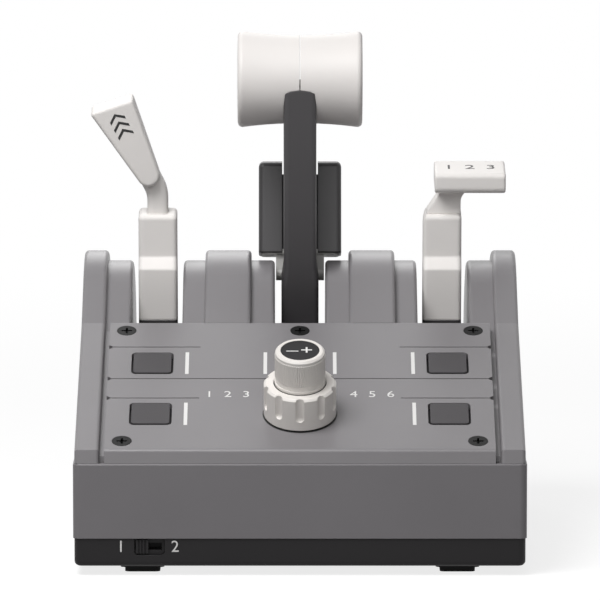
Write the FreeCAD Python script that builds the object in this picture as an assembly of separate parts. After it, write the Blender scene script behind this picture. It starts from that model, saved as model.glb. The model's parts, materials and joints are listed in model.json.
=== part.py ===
import FreeCAD, Part
import math
import os

# Throttle quadrant for a desk cockpit. Three levers turn on one cross shaft inside a moulded case:
# speed brake on the left, thrust with a reverser in the middle, flaps on the right.
# Millimetres. X to the right, Y away from the pilot, Z up. The origin is on the desk, under the middle.

V = FreeCAD.Vector
X_AXIS = V(1, 0, 0)
Y_AXIS = V(0, 1, 0)
Z_AXIS = V(0, 0, 1)

# ---- case ----
case_width = 180.0
case_depth = 204.0
foot_height = 3.9           # desk to the underside of the base
base_height = 11.2          # dark base tray
body_height = 29.9          # lower shell, from the tray to the parting line
wall = 2.4
deck_thickness = 2.5
corner_radius = 3.0
base_inset = 0.5            # tray let in under the lower shell
upper_inset = 0.6           # upper mouldings let in at the parting line
parting_chamfer = 0.5
edge_radius = 1.6
seam = 0.3                  # dark line between neighbouring mouldings

# ---- top line of the case, seen from the side ----
lip_height = 5.5
lip_lean = 0.9
panel_tilt = 22.8
crown_reach = 49.4          # level distance from the panel's rear edge to the lever shaft
crown_height = 113.3        # highest point above the desk
crown_front_radius = 43.0
crown_rear_radius = 60.0    # struck from the lever shaft
shoulder_drop = 4.2

# ---- across the case, from the outside to the middle ----
rim_width = 9.8             # raised outer rim of each side moulding
cheek_shoulder = 10.3       # from that rim to the side slot
slot_width = 21.0
outer_shoulder = 9.1        # from the side slot to the crown's raised band
inner_shoulder = 9.7        # from that band to the middle slot
panel_gap = 2.0             # between the panel and each rim

# ---- panel ----
panel_skin = 2.6
panel_rim = 8.0
panel_rim_depth = 9.0
screw_edge = 6.9            # screws to the panel's side edges
screw_front = 6.8
screw_rear_edge = 6.2
button_edge = 17.9          # buttons to the panel's side edges
front_row = 27.8            # front buttons and the selector, up the panel
rear_row_edge = 32.5        # rear buttons to the panel's rear edge
button_width = 15.4
button_length = 15.6
button_gap = 0.8
button_raise = 0.3
button_travel = 1.0
button_radius = 1.3
button_foot = 5.4
button_edge_radius = 0.25
flange_width = 1.0
flange_drop = 0.4           # from the panel's skin to the button's flange
flange_thickness = 1.4
groove_width = 0.6
groove_depth = 0.6
front_groove = 12.4         # ahead of and behind the button rows
middle_groove = 12.3
rear_groove = 13.0
groove_end = 19.2           # from the buttons to the short grooves' ends
notch_radius = 1.4
board_gap = 7.8             # panel skin to the button board
board_thickness = 1.6
board_side = 6.3            # button board beyond the buttons
board_front = 7.8
board_rear = 11.1
post_radius = 3.0
post_side = 21.7            # posts to the buttons' centre line
tact_size = 6.0
tact_height = 3.5

# ---- screws ----
screw_radius = 1.5
screw_clearance = 0.2
screw_head_radius = 3.9
screw_head_height = 2.4
panel_screw_length = 8.2
case_head_radius = 2.8
case_head_height = 1.8
foot_screw_lift = 0.2       # heads of the long screws in their wells
long_screw_length = 18.0
short_screw_length = 11.0
screw_column_radius = 3.5
case_column_radius = 4.0
case_screw_side = 8.0       # case screws to the case's sides
case_screw_end = 10.0
well_radius = 3.1
column_front = 40.0         # cheek columns to the case's front
column_rear = 18.0
column_overlap = 0.8        # cheek columns sunk into the side wall
crown_column_front = 20.0   # crown columns to the panel's rear edge

# ---- rotary selector, two knobs on one axis ----
outer_knob_radius = 14.5
outer_knob_height = 13.9
outer_knob_well = 1.0
knob_lift = 0.7
knob_chamfer = 0.8
flute_count = 10
flute_radius = 1.9
flute_foot = 3.6
inner_knob_radius = 10.2
inner_knob_height = 14.8
inner_knob_lip = 1.2
lip_step = 0.35
cap_radius = 7.75
cap_rim = 0.7
cap_drop = 0.15
knob_wall = 3.0             # solid top of the upper knob above its shaft
outer_shaft_radius = 3.0
inner_shaft_radius = 1.75
running_clearance = 0.05
bushing_radius = 4.5
bushing_height = 2.5
encoder_size = 14.0
encoder_height = 8.6
push_travel = 0.8

# ---- levers ----
shaft_radius = 4.0
shaft_end_gap = 1.0
drum_radius = 27.0
drum_width = 20.0
drum_gap = 1.5              # round the drums in the deck's windows
washer_thickness = 0.45
washer_radius = 8.0
side_lean = 9.0             # rest position, towards the pilot
thrust_lean = 11.0
side_arm_width = 15.9
side_arm_front = 7.2
side_arm_rear = 7.2
side_shelf_front = 11.0
side_shelf_low = 57.0
side_shelf_high = 61.5
side_arm_foot = 35.2        # pale arm above this, dark hub below
side_arm_edge = 1.8
shelf_edge = 0.8
core_wall = 2.6             # arm's wall round the hub's core
core_height = 14.0
speed_arm_top = 79.0
flap_arm_top = 79.0
thrust_arm_width = 13.5
thrust_foot_width = 15.4
thrust_foot_top = 50.0
thrust_taper = 7.0
thrust_arm_front = 9.5
thrust_arm_rear = 7.5
thrust_arm_top = 133.9
thrust_arm_edge = 2.2
magnet_radius = 3.0
magnet_thickness = 3.0
magnet_drop = 18.0

# ---- thrust handle ----
spool_radius = 20.0
spool_waist = 18.15
spool_half_length = 25.65
spool_edge = 2.0
spool_height = 133.9        # from the shaft to the handle's axis
spool_behind = 9.4
spool_seam = 0.36
bolt_ahead = 1.0
bolt_height = 127.0
bolt_radius = 2.0
bolt_reach = 17.0
bolt_head_radius = 3.8
bolt_head = 3.0
end_button_radius = 5.2
end_button_travel = 1.2
end_button_length = 5.0
end_button_drop = 0.2
end_button_gap = 0.15
end_switch_depth = 3.3

# ---- speed brake handle ----
stem_width = 8.6
stem_depth = 9.0
stem_corner = 2.4
stem_tilt = 26.7
stem_bend_radius = 14.0
stem_rise = 5.5             # straight part above the arm
stem_straight = 6.0
socket_depth = 9.0
paddle_length = 35.0
paddle_top_fall = 2.6       # the top edge drops towards the middle of the case
paddle_top_width = 18.4
paddle_foot_radius = 4.6
paddle_top_depth = 13.0
paddle_foot_depth = 8.0
paddle_shift = 0.5
paddle_seat = 5.5           # from the stem's bend to the paddle's foot
paddle_edge = 1.3

# ---- flap handle ----
wing_inner_x = -3.3
wing_outer_x = 25.9
wing_lift = 10.4            # arm's top to the handle's underside
wing_thickness = 8.6
wing_front = 12.0
wing_rear = 11.0
wing_low_edge = 2.8
wing_high_edge = 1.8
wing_end_edge = 0.9
neck_depth = 9.0
neck_flare = 6.0
neck_hollow = 5.0
neck_bend_radius = 14.0
neck_sweep = 33.0
neck_start = 6.0            # bend below the arm's top
tang_left = -3.5
tang_right = 5.0

# ---- reverser ----
pin_back = 15.8             # from the thrust arm's centre line
pin_height = 48.3
pin_radius = 2.0
lug_width = 9.6
lug_radius = 3.4
web_drop = 14.0
web_rise = 8.0
fork_gap = 0.4
fork_width = 20.0
fork_eye_radius = 3.4
reverser_tilt = 12.0
grip_width = 34.4
grip_front = 7.2
grip_rear = 10.8
grip_foot = 7.6
grip_top = 45.3
grip_crown = 2.5            # the top climbs towards the rear
grip_edge = 2.2
grip_foot_edge = 0.6
grip_notch = 14.9
grip_web = 5.0              # grip behind the arm's notch
gate_depth = 3.6
plate_foot = 7.2
plate_thickness = 2.0
plate_inset = 1.2

# ---- base ----
foot_side = 27.3            # rubber feet to the case's sides
foot_end = 22.0
foot_size = (14.0, 20.0)
foot_boss = (17.4, 24.0)
foot_boss_height = 1.8
foot_corner = 2.0
floor_thickness = 3.0
tray_wall = 3.0
tray_edge = 2.0
insert_spacing_x = 90.0
insert_spacing_y = 120.0
insert_bore = 2.5           # M5 thread
insert_radius = 3.6
insert_length = 6.0
insert_wall = 2.0
centre_boss_radius = 8.0
centre_boss_drop = 0.9
centre_insert_bore = 3.175  # quarter-inch thread
centre_insert_radius = 4.6
centre_insert_length = 8.0

# ---- slide switch in the base ----
switch_side = 30.35         # its middle to the case's side
switch_width = 12.1
switch_height = 6.7
switch_corner = 1.5
switch_body_depth = 6.0
switch_side_wall = 2.0
slider_width = 5.0
slider_gap = 0.6
slider_travel = 5.0
slider_thickness = 1.2
slider_setback = 0.2
slider_clearance = 0.2
slider_rib_count = 3
slider_rib_width = 0.6
slider_stem_height = 2.4
slider_stem_length = 5.0
slider_play = 0.3

# ---- USB socket in the rear wall ----
usb_z = 26.0
usb_width = 8.94
usb_height = 3.26
usb_length = 7.4
usb_sheet = 0.3
usb_opening_gap = 0.3
usb_setback = 0.4
usb_tongue = (6.8, 0.7)
usb_board_width = 18.0
usb_board_depth = 26.0
usb_stand = 3.0

# ---- inside the case ----
block_width = 10.0
block_depth = 22.0
block_flange = 34.0
block_flange_height = 4.0
block_gap = 2.6
ballast_side = 19.0         # ballast plate beyond the thread inserts
ballast_end = 14.0
ballast_thickness = 4.0
ballast_gap = 0.5
sensor_gap = 0.9
sensor_width = 28.0
sensor_height = 16.0
chip_size = 5.0
chip_height = 1.0
shoe_width = 12.0
shoe_depth = 16.0
shoe_gap = 0.25
shoe_wrap = 9.0             # top of the shoes above the drum's lowest point
detent_radius = 1.4
detent_angles = (-30.0, -20.0, -10.0, 0.0, 10.0, 20.0, 26.0)
leaf_width = 8.0
leaf_thickness = 0.8
leaf_front = 4.0
leaf_rear = 28.0
leaf_drop = 0.9
main_board_width = 104.0
main_board_depth = 46.0
main_board_setback = 32.0
main_board_lift = 5.0
main_post_inset = 18.0
main_post_end = 4.0
main_post_radius = 2.5
processor_size = 14.0
processor_height = 1.2
connector_x = 24.0
connector_width = 12.0
connector_depth = 8.0
connector_height = 5.0
beam_height = 7.0           # bar under the panel's rear edge
beam_depth = 11.0
leg_width = 8.0
slot_end_thickness = 2.5
hatch_width = 80.0          # opening in the deck under the panel, for the cables
hatch_depth = 36.0
hatch_setback = 40.0

# ---- worked out ----
y_front = -case_depth / 2
y_rear = case_depth / 2
base_top = foot_height + base_height
deck_top = base_top + body_height
deck_bottom = deck_top - deck_thickness
floor_top = foot_height + floor_thickness
ballast_top = floor_top + ballast_thickness
upper_half = case_width / 2 - upper_inset
upper_rear = y_rear - upper_inset
pivot_y = upper_rear - crown_rear_radius
pivot_z = crown_height - crown_rear_radius
cheek_inner_x = upper_half - rim_width
side_slot_outer = cheek_inner_x - cheek_shoulder
side_slot_inner = side_slot_outer - slot_width
side_slot_x = (side_slot_inner + side_slot_outer) / 2
ridge_outer_x = side_slot_inner - outer_shoulder
ridge_inner_x = slot_width / 2 + inner_shoulder
panel_half_width = cheek_inner_x - panel_gap
tilt = math.radians(panel_tilt)
slope = (math.cos(tilt), math.sin(tilt))
lip_foot = (y_front + upper_inset, deck_top)
panel_start = (lip_foot[0] + lip_lean, deck_top + lip_height)
panel_length = (pivot_y - crown_reach - panel_start[0]) / slope[0]
panel_end = (pivot_y - crown_reach, panel_start[1] + panel_length * slope[1])
ridge_front = panel_end[0] + seam
screw_x = panel_half_width - screw_edge
screw_rear = panel_length - screw_rear_edge
button_x = panel_half_width - button_edge
rear_row = panel_length - rear_row_edge
groove_rows = (front_row + front_groove, rear_row - middle_groove, rear_row + rear_groove)
case_screw_x = case_width / 2 - case_screw_side
case_screw_rows = (y_front + case_screw_end, 0.0, y_rear - case_screw_end)
ridge_column_x = (ridge_inner_x + ridge_outer_x) / 2
ridge_column_rows = (panel_end[0] + crown_column_front, y_rear - column_rear)
cheek_column_x = upper_half - wall - screw_column_radius + column_overlap
cheek_column_rows = (y_front + column_front, y_rear - column_rear)
foot_x = case_width / 2 - foot_side
foot_y = case_depth / 2 - foot_end
switch_x = switch_side - case_width / 2
shaft_half_length = upper_half - wall - shaft_end_gap
spring_level = pivot_z - drum_radius - detent_radius - leaf_drop
wing_bottom = flap_arm_top + wing_lift
lever_places = (-side_slot_x, 0.0, side_slot_x)


# ---- small helpers ----
def save(name, *solids):
    shape = solids[0] if len(solids) == 1 else Part.Compound(list(solids))
    shape.exportStep("parts/" + name + ".step")


def box(x0, x1, y0, y1, z0, z1):
    return Part.makeBox(x1 - x0, y1 - y0, z1 - z0, V(x0, y0, z0))


def rod(radius, start, end):
    """Round bar between two points."""
    axis = V(*end) - V(*start)
    return Part.makeCylinder(radius, axis.Length, V(*start), axis)


def prism_x(points, x0, x1):
    """Extrusion along X of a closed outline in Y and Z."""
    corners = [V(x0, y, z) for y, z in points]
    return Part.Face(Part.makePolygon(corners + corners[:1])).extrude(V(x1 - x0, 0, 0))


def prism_y(points, y0, y1):
    """Extrusion along Y of a closed outline in X and Z."""
    corners = [V(x, y0, z) for x, z in points]
    return Part.Face(Part.makePolygon(corners + corners[:1])).extrude(V(0, y1 - y0, 0))


def fuse(first, *others):
    return first.fuse(list(others)).removeSplitter()


def mirrored(shape):
    return shape.mirror(V(0, 0, 0), X_AXIS)


def round_edges(shape, radius, wanted):
    """Fillet the edges that the test picks out."""
    return shape.makeFillet(radius, [edge for edge in shape.Edges if wanted(edge)])


def along(edge, axis):
    """True for a straight edge that runs along the axis."""
    if edge.Curve.TypeId != "Part::GeomLine":
        return False
    return abs(abs(edge.Curve.Direction.dot(axis)) - 1) < 1e-6


def rounded_block(x0, x1, y0, y1, z0, z1, radius):
    """Block with its four upright edges rounded."""
    return round_edges(box(x0, x1, y0, y1, z0, z1), radius, lambda edge: along(edge, Z_AXIS))


def on_panel(shape):
    """From the panel's own frame, with Y up the slope and Z off its face, to its place."""
    placed = shape.copy()
    placed.rotate(V(0, 0, 0), X_AXIS, panel_tilt)
    placed.translate(V(0, panel_start[0], panel_start[1]))
    return placed


def on_shaft(shape, lean, x=0.0):
    """From a lever's own frame, upright on the shaft, to its rest position."""
    placed = shape.copy()
    placed.rotate(V(0, 0, 0), X_AXIS, lean)
    placed.translate(V(x, pivot_y, pivot_z))
    return placed


# ---- the case's top line ----
def meet(p, a, q, b):
    """Where the line through p along a crosses the line through q along b."""
    across = a[0] * b[1] - a[1] * b[0]
    share = ((q[0] - p[0]) * b[1] - (q[1] - p[1]) * b[0]) / across
    return (p[0] + share * a[0], p[1] + share * a[1])


def let_in(point, direction, depth):
    """The point moved into the case, square to a line of the top."""
    length = math.hypot(*direction)
    return (point[0] + depth * direction[1] / length, point[1] - depth * direction[0] / length)


def crown_tangent():
    """Slope of the line from the panel's rear edge that touches the crown's front arc."""
    dy = pivot_y - panel_end[0]
    dz = crown_height - crown_front_radius - panel_end[1]
    angle = math.atan2(dz, dy) + math.asin(crown_front_radius / math.hypot(dy, dz))
    return (math.cos(angle), math.sin(angle))


def skin(depth, x0, x1):
    """Solid below the case's top line, let in by depth, between two planes across the case."""
    lip = (lip_lean, lip_height)
    rise = crown_tangent()
    lip_point = let_in(lip_foot, lip, depth)
    panel_point = let_in(panel_start, slope, depth)
    rise_point = let_in(panel_end, rise, depth)
    foot = meet(lip_point, lip, (0, deck_top), (1, 0))
    brow = meet(lip_point, lip, panel_point, slope)
    bend = meet(panel_point, slope, rise_point, rise)
    front_radius = crown_front_radius - depth
    rear_radius = crown_rear_radius - depth
    front_centre = (pivot_y, crown_height - crown_front_radius)

    def front_arc(angle):
        return V(x0, front_centre[0] - front_radius * math.sin(angle),
                 front_centre[1] + front_radius * math.cos(angle))

    def rear_arc(angle):
        return V(x0, pivot_y + rear_radius * math.sin(angle), pivot_z + rear_radius * math.cos(angle))

    steep = math.atan2(rise[1], rise[0])
    start = V(x0, *foot)
    brow = V(x0, *brow)
    bend = V(x0, *bend)
    end = V(x0, pivot_y + rear_radius, deck_top)
    edges = [
        Part.LineSegment(start, brow),
        Part.LineSegment(brow, bend),
        Part.LineSegment(bend, front_arc(steep)),
        Part.Arc(front_arc(steep), front_arc(steep / 2), front_arc(0)),
        Part.Arc(rear_arc(0), rear_arc(math.pi / 4), rear_arc(math.pi / 2)),
        Part.LineSegment(rear_arc(math.pi / 2), end),
        Part.LineSegment(end, start),
    ]
    outline = Part.Wire([edge.toShape() for edge in edges])
    return Part.Face(outline).extrude(V(x1 - x0, 0, 0))


def rounded_skin(depth, x0, x1, sides):
    """The same solid with the long edges rounded on the given side planes."""
    def wanted(edge):
        centre = edge.CenterOfMass
        flat = along(edge, Y_AXIS) and abs(centre.z - deck_top) < 1e-6
        return not flat and any(abs(v.X - side) < 1e-6 for side in sides for v in edge.Vertexes[:1]) \
            and abs(edge.Vertexes[0].X - edge.Vertexes[-1].X) < 1e-6
    return round_edges(skin(depth, x0, x1), edge_radius, wanted)


def shaft_notch(x0, x1):
    """Open-bottomed notch that lets a moulding drop over the shaft."""
    radius = shaft_radius + running_clearance * 4
    round_part = rod(radius, (x0, pivot_y, pivot_z), (x1, pivot_y, pivot_z))
    return fuse(round_part, box(x0, x1, pivot_y - radius, pivot_y + radius, deck_top - 1, pivot_z))


def screw(radius, head_radius, head_height, length):
    """Cross-recessed screw, head up, with the top of its head at the origin."""
    body = fuse(rod(radius, (0, 0, -length), (0, 0, -head_height / 2)),
                rod(head_radius, (0, 0, -head_height), (0, 0, 0)))
    arm = head_radius * 0.55
    half = head_radius * 0.12
    deep = head_height * 0.6
    return body.cut([box(-arm, arm, -half, half, -deep, 1), box(-half, half, -arm, arm, -deep, 1)])


def boss_column(x, y, radius, roof_depth):
    """Screw column from the parting line up into the roof of a moulding."""
    inside = skin(roof_depth, 0, case_width / 2)
    return rod(radius, (x, y, deck_top), (x, y, crown_height)).common(inside)


def column_bore(x, y):
    """Hole up a screw column for one of the deck's short screws."""
    reach = short_screw_length - deck_thickness + 0.5
    return rod(screw_radius, (x, y, deck_top - 1), (x, y, deck_top + reach))


# ---- case mouldings ----
def panel_screw_places():
    corners = [(x, y) for x in (-screw_x, screw_x) for y in (screw_front, screw_rear)]
    return corners + [(0.0, screw_rear)]


def make_cheek():
    """Right side moulding: raised outer rim, lower shoulder beside the slot, ledge for the panel."""
    rim = rounded_skin(0, cheek_inner_x, upper_half, (cheek_inner_x, upper_half))
    shoulder = rounded_skin(shoulder_drop, side_slot_outer, cheek_inner_x + edge_radius * 2,
                            (side_slot_outer,))
    cavities = [
        skin(wall, cheek_inner_x + wall, upper_half - wall),
        skin(shoulder_drop + wall, side_slot_outer + wall, upper_half - wall),
    ]
    outside = fuse(rim, shoulder)
    cheek = outside.cut(cavities + [shaft_notch(side_slot_outer - 1, side_slot_outer + wall + 1)])
    columns = [boss_column(cheek_column_x, y, screw_column_radius, wall / 2) for y in cheek_column_rows]
    bosses = []
    for y in (screw_front, screw_rear):
        reach = shoulder_drop + panel_screw_length + 0.8
        boss = on_panel(rod(screw_column_radius, (screw_x, y, -reach), (screw_x, y, -shoulder_drop)))
        bosses.append(boss.common(box(0, upper_half, y_front, ridge_front, deck_top, crown_height)))
    cheek = fuse(cheek, *columns, *bosses)
    for x, y in panel_screw_places():
        if x > 0:
            cheek = cheek.cut(on_panel(rod(screw_radius, (x, y, -reach + 1), (x, y, 1))))
    for y in cheek_column_rows:
        cheek = cheek.cut(column_bore(cheek_column_x, y))
    return cheek


def make_ridge():
    """Right crown moulding between two slots: raised middle band, a shoulder on each side."""
    behind = box(0, side_slot_inner, ridge_front, y_rear, deck_top, crown_height + 1)
    inner = slot_width / 2
    band = rounded_skin(0, ridge_inner_x, ridge_outer_x, (ridge_inner_x, ridge_outer_x))
    shoulders = rounded_skin(shoulder_drop, inner, side_slot_inner, (inner, side_slot_inner))
    outside = fuse(band, shoulders).common(behind)
    deeper = box(0, side_slot_inner, ridge_front + wall, y_rear, deck_top - 1, crown_height)
    cavity = skin(shoulder_drop + wall, inner + wall, side_slot_inner - wall).common(deeper)
    ridge = outside.cut([cavity, shaft_notch(inner - 1, side_slot_inner + 1)])
    columns = [boss_column(ridge_column_x, y, screw_column_radius, shoulder_drop) for y in ridge_column_rows]
    ridge = fuse(ridge, *columns)
    for y in ridge_column_rows:
        ridge = ridge.cut(column_bore(ridge_column_x, y))
    return ridge


def make_panel():
    """Inclined control panel with a turned-down front lip and a stiff rim underneath."""
    front_part = box(-panel_half_width, panel_half_width, y_front, panel_end[0], deck_top, crown_height)
    outside = skin(0, -panel_half_width, panel_half_width).common(front_part)
    outside = round_edges(outside, edge_radius, lambda edge: along(edge, X_AXIS)
                          and abs(edge.Vertexes[0].Z - panel_start[1]) < 0.01)
    hollow = skin(panel_skin, -panel_half_width - 1, panel_half_width + 1)
    deep = skin(shoulder_drop, -panel_half_width - 1, panel_half_width + 1)
    rear_rim = panel_length - screw_rear_edge - screw_head_radius - 2.0
    low = panel_start[1]
    side_rims = [
        box(-panel_half_width, -panel_half_width + panel_rim, y_front, panel_end[0], low, crown_height),
        box(panel_half_width - panel_rim, panel_half_width, y_front, panel_end[0], low, crown_height),
        on_panel(box(-panel_half_width, panel_half_width, rear_rim, panel_length + 5, -panel_rim_depth, 5)),
    ]
    rims = outside.common(fuse(*side_rims)).cut(deep)
    panel = fuse(outside.cut(hollow), rims)
    cuts = []
    for x, y in panel_screw_places():
        cuts.append(on_panel(rod(screw_radius + screw_clearance, (x, y, -panel_rim_depth), (x, y, 1))))
        cuts.append(on_panel(rod(screw_head_radius + 0.1, (x, y, -screw_head_height), (x, y, 1))))
    for x, y in button_places():
        opening = rounded_block(x - button_width / 2 - button_gap, x + button_width / 2 + button_gap,
                                y - button_length / 2 - button_gap, y + button_length / 2 + button_gap,
                                -panel_skin - 1, 1, button_radius + button_gap)
        cuts.append(on_panel(opening))
    cuts.append(on_panel(rod(bushing_radius + 0.2, (0, front_row, -panel_rim_depth), (0, front_row, 1))))
    half = groove_width / 2
    for y in groove_rows:
        inner = button_x - groove_end if y != groove_rows[1] else -1
        for side in (-1, 1):
            x0, x1 = sorted((side * inner, side * (panel_half_width + 1)))
            cuts.append(on_panel(box(x0, x1, y - half, y + half, -groove_depth, 1)))
            edge_x = side * panel_half_width
            cuts.append(on_panel(rod(notch_radius, (edge_x, y, -panel_skin), (edge_x, y, 1))))
    panel = panel.cut(cuts)
    posts = [on_panel(rod(post_radius, (x, y, -panel_skin - board_gap), (x, y, -panel_skin + 0.1)))
             for x in (post_side - button_x, button_x - post_side)
             for y in (front_row - post_radius / 2, rear_row + post_radius)]
    return fuse(panel, *posts)


def button_places():
    return [(x, y) for y in (rear_row, front_row) for x in (-button_x, button_x)]


def make_panel_screws():
    cap = screw(screw_radius, screw_head_radius, screw_head_height, panel_screw_length)
    screws = []
    for x, y in panel_screw_places():
        placed = cap.copy()
        placed.translate(V(x, y, 0))
        screws.append(on_panel(placed))
    return screws


def make_panel_beam():
    """Bar on two legs under the panel's rear edge; it takes the middle screw."""
    reach = side_slot_outer - wall
    low = -shoulder_drop - beam_height
    bar = on_panel(box(-reach, reach, panel_length - beam_depth, panel_length + beam_depth,
                       low, -shoulder_drop))
    legs = [box(x - leg_width / 2, x + leg_width / 2, panel_end[0] - beam_depth + 2, panel_end[0],
                deck_top, panel_end[1] - shoulder_drop - beam_height)
            for x in (-ridge_column_x, ridge_column_x)]
    ahead = box(-case_width, case_width, y_front, panel_end[0], deck_top, crown_height)
    beam = fuse(bar, *legs).common(ahead)
    return beam.cut(on_panel(rod(screw_radius, (0, screw_rear, -panel_screw_length - 1), (0, screw_rear, 1))))


def make_slot_ends():
    """Upright plates that close the front of the three slots."""
    top = panel_end[1] - shoulder_drop
    half = slot_width / 2
    return [box(x - half, x + half, ridge_front, ridge_front + slot_end_thickness, deck_top, top)
            for x in lever_places]


def drum_window():
    """Half length of the opening that a drum needs in the deck."""
    drop = pivot_z - deck_top
    return math.sqrt(drum_radius ** 2 - drop ** 2) + drum_gap


def make_lower_shell():
    """Grey lower body: four walls, a deck with windows for the drums, screw columns."""
    half = case_width / 2
    outside = rounded_block(-half, half, y_front, y_rear, base_top, deck_top, corner_radius)
    outside = outside.makeChamfer(parting_chamfer, [edge for edge in outside.Edges
                                                    if abs(edge.CenterOfMass.z - deck_top) < 1e-6])
    inside = rounded_block(-half + wall, half - wall, y_front + wall, y_rear - wall,
                           base_top - 1, deck_bottom, corner_radius - wall / 2)
    shell = outside.cut(inside)
    places = [(side * case_screw_x, y) for side in (-1, 1) for y in case_screw_rows]
    columns = [rod(case_column_radius, (x, y, base_top), (x, y, deck_bottom + 0.5)) for x, y in places]
    shell = fuse(shell, *columns)
    window = drum_window()
    low = deck_bottom - 1
    high = deck_top + 1
    cuts = [box(x - slot_width / 2, x + slot_width / 2, pivot_y - window, pivot_y + window, low, high)
            for x in lever_places]
    hatch_front = y_front + hatch_setback
    cuts.append(box(-hatch_width / 2, hatch_width / 2, hatch_front, hatch_front + hatch_depth, low, high))
    reach = long_screw_length - base_height + foot_screw_lift + 1
    spots = deck_screw_places()
    cuts += [rod(screw_radius, (x, y, base_top - 1), (x, y, base_top + reach)) for x, y in places]
    for side in (-1, 1):
        cuts += [rod(screw_radius + screw_clearance, (side * x, y, low), (side * x, y, high))
                 for x, y in spots]
    cuts.append(usb_outline(usb_opening_gap, y_rear - wall - 1, y_rear + 1))
    return shell.cut(cuts)


def deck_screw_places():
    """Right-hand screws up through the deck into the crown and cheek columns."""
    return [(ridge_column_x, y) for y in ridge_column_rows] + [(cheek_column_x, y) for y in cheek_column_rows]


def usb_outline(grow, y0, y1):
    half_width = usb_width / 2 + grow
    half_height = usb_height / 2 + grow
    block = box(-half_width, half_width, y0, y1, usb_z - half_height, usb_z + half_height)
    return round_edges(block, half_height * 0.9, lambda edge: along(edge, Y_AXIS))


def make_usb_socket():
    mouth = y_rear - usb_setback
    back = mouth - usb_length
    half_width, half_height = usb_tongue[0] / 2, usb_tongue[1] / 2
    hollow = usb_outline(-usb_sheet, back + 1, mouth + 1)
    tongue = box(-half_width, half_width, back + 0.5, mouth - 1.2, usb_z - half_height, usb_z + half_height)
    return fuse(usb_outline(0, back, mouth).cut(hollow), tongue)


def make_usb_board():
    """Small upright-mounted board below the socket, standing on the base floor by its bracket."""
    top = usb_z - usb_height / 2
    half = usb_board_width / 2
    front = y_rear - usb_board_depth
    plate = box(-half, half, front, y_rear - wall - seam, top - board_thickness, top)
    stand = box(-half, half, front, front + usb_stand, floor_top, top - board_thickness)
    return fuse(plate, stand)


def make_base_tray():
    """Dark base with screw wells, thread bosses and the switch window in its front wall."""
    half = case_width / 2 - base_inset
    front = y_front + base_inset
    rear = y_rear - base_inset
    outside = rounded_block(-half, half, front, rear, foot_height, base_top, corner_radius)
    outside = round_edges(outside, tray_edge, lambda edge: abs(edge.CenterOfMass.z - foot_height) < 1e-6)
    inside = rounded_block(-half + tray_wall, half - tray_wall, front + tray_wall, rear - tray_wall,
                           floor_top, base_top + 1, corner_radius)
    tray = outside.cut(inside)
    centre_foot = foot_height - centre_boss_drop
    centre_top = centre_foot + centre_insert_length + insert_wall
    additions = [rod(centre_boss_radius, (0, 0, centre_foot), (0, 0, centre_top))]
    insert_top = foot_height + insert_length + insert_wall
    additions += [rod(insert_radius + insert_wall, (x, y, foot_height), (x, y, insert_top))
                  for x, y in insert_places()]
    for side in (-1, 1):
        additions += [rod(case_column_radius, (side * case_screw_x, y, foot_height),
                          (side * case_screw_x, y, base_top)) for y in case_screw_rows]
    for x, y in foot_places():
        additions.append(rounded_block(x - foot_boss[0] / 2, x + foot_boss[0] / 2,
                                       y - foot_boss[1] / 2, y + foot_boss[1] / 2,
                                       foot_height - foot_boss_height, foot_height + 0.1, foot_corner))
    tray = fuse(tray, *additions)
    cuts = [rod(centre_insert_radius, (0, 0, 0), (0, 0, centre_foot + centre_insert_length))]
    cuts += [rod(insert_radius, (x, y, 0), (x, y, foot_height + insert_length)) for x, y in insert_places()]
    for side in (-1, 1):
        for y in case_screw_rows:
            x = side * case_screw_x
            well_top = foot_height + foot_screw_lift + case_head_height
            cuts.append(rod(screw_radius + screw_clearance, (x, y, 0), (x, y, base_top + 1)))
            cuts.append(rod(well_radius, (x, y, 0), (x, y, well_top)))
    window = prism_y([
        (switch_x - switch_width / 2, base_top + 1), (switch_x - switch_width / 2, base_top - switch_height),
        (switch_x + switch_width / 2, base_top - switch_height), (switch_x + switch_width / 2, base_top + 1),
    ], y_front - 1, y_front + base_inset + tray_wall + 1)
    lower = base_top - switch_height
    window = round_edges(window, switch_corner, lambda edge: along(edge, Y_AXIS)
                         and abs(edge.CenterOfMass.z - lower) < 0.01)
    cuts.append(window)
    return tray.cut(cuts)


def insert_places():
    return [(x, y) for x in (-insert_spacing_x / 2, insert_spacing_x / 2)
            for y in (-insert_spacing_y / 2, insert_spacing_y / 2)]


def foot_places():
    return [(x, y) for x in (-foot_x, foot_x) for y in (-foot_y, foot_y)]


def make_thread_inserts():
    return [rod(insert_radius, (x, y, foot_height), (x, y, foot_height + insert_length)).cut(
        rod(insert_bore, (x, y, foot_height - 1), (x, y, foot_height + insert_length + 1)))
        for x, y in insert_places()]


def make_centre_insert():
    foot = foot_height - centre_boss_drop
    sleeve = rod(centre_insert_radius, (0, 0, foot), (0, 0, foot + centre_insert_length))
    return sleeve.cut(rod(centre_insert_bore, (0, 0, foot - 1), (0, 0, foot + centre_insert_length + 1)))


def make_feet():
    top = foot_height - foot_boss_height
    return [rounded_block(x - foot_size[0] / 2, x + foot_size[0] / 2, y - foot_size[1] / 2,
                          y + foot_size[1] / 2, 0, top, foot_corner) for x, y in foot_places()]


def make_case_screws():
    """Screws from below: six through the base, eight through the deck into the top mouldings."""
    long_screw = screw(screw_radius, case_head_radius, case_head_height, long_screw_length)
    short_screw = screw(screw_radius, case_head_radius, case_head_height, short_screw_length)
    screws = []
    for side in (-1, 1):
        for y in case_screw_rows:
            screws.append(upside_down(long_screw, side * case_screw_x, y, foot_height + foot_screw_lift))
        for x, y in deck_screw_places():
            screws.append(upside_down(short_screw, side * x, y, deck_bottom - case_head_height))
    return screws


def upside_down(shape, x, y, z):
    placed = shape.copy()
    placed.rotate(V(0, 0, 0), X_AXIS, 180)
    placed.translate(V(x, y, z))
    return placed


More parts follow.
